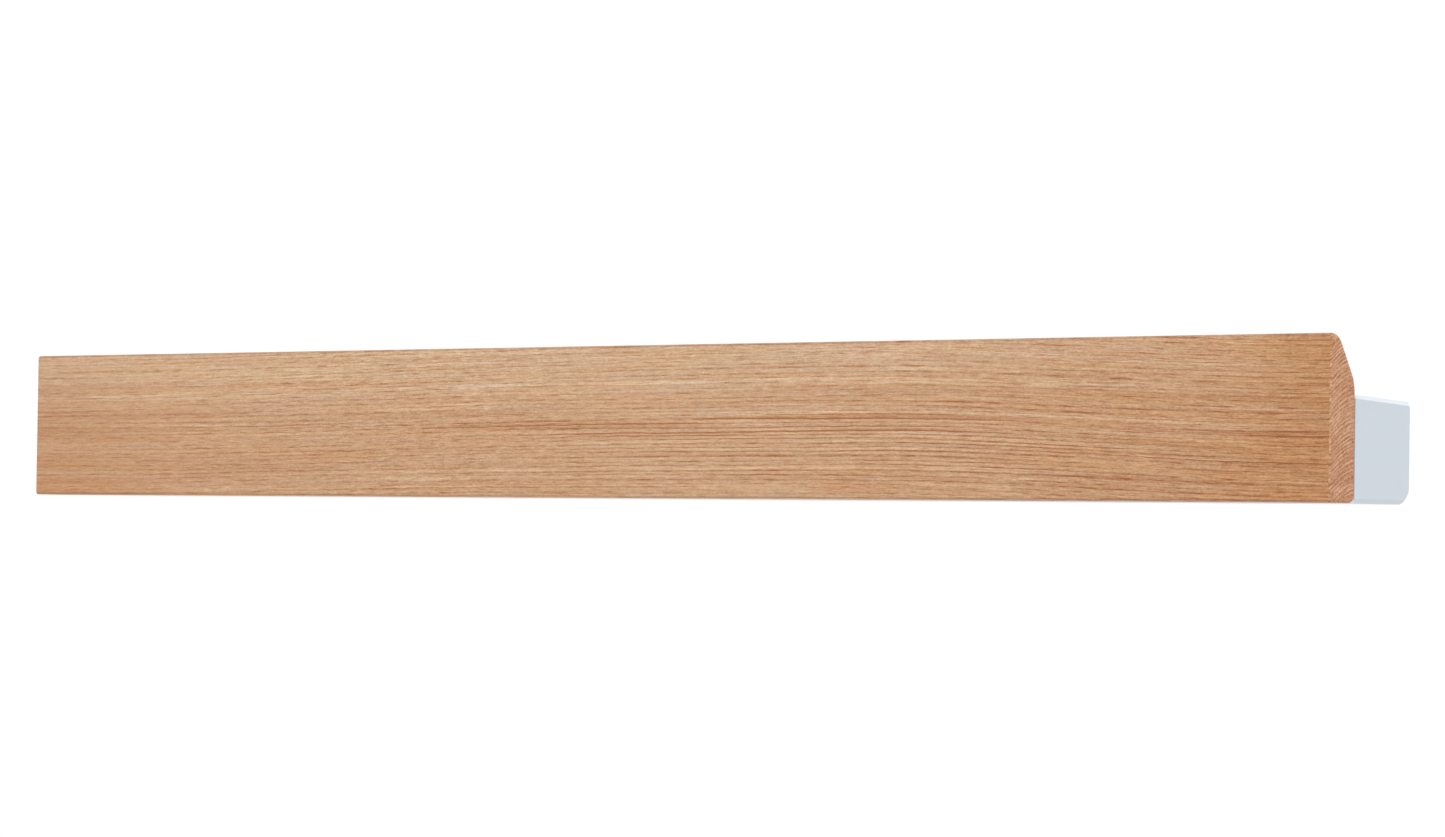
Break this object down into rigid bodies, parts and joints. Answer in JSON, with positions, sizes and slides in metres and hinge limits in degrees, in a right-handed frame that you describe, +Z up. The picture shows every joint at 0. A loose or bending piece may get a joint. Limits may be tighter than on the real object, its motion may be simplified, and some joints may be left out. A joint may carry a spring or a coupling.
{
  "type": "bicycle wall rack",
  "caption": "Wall rack for a bicycle: a bevelled oak rail carried in front of a folded white steel tray with closed ends, which takes the pedal of the hung bike.",
  "frame": {"origin": "on the wall face, midway along the rail and level with the wall screws", "axes": "+X along the rail, +Y into the wall, +Z up"},
  "size_m": [1.15, 0.083, 0.1],
  "materials": {
    "oiled_oak": "sanded and oiled oak, straight grain along the rail",
    "white_powder_coat": "fine satin powder coat on steel sheet",
    "zinc_plated_steel": "bright zinc plate",
    "brass": "turned brass"
  },
  "bodies": {
    "root": {"oak_rail": "oiled_oak", "wall_tray": "white_powder_coat", "right_end_plate": "white_powder_coat", "left_end_plate": "white_powder_coat", "rail_screws": "zinc_plated_steel", "rail_washers": "zinc_plated_steel", "rail_inserts": "brass"}
  },
  "joints": []
}
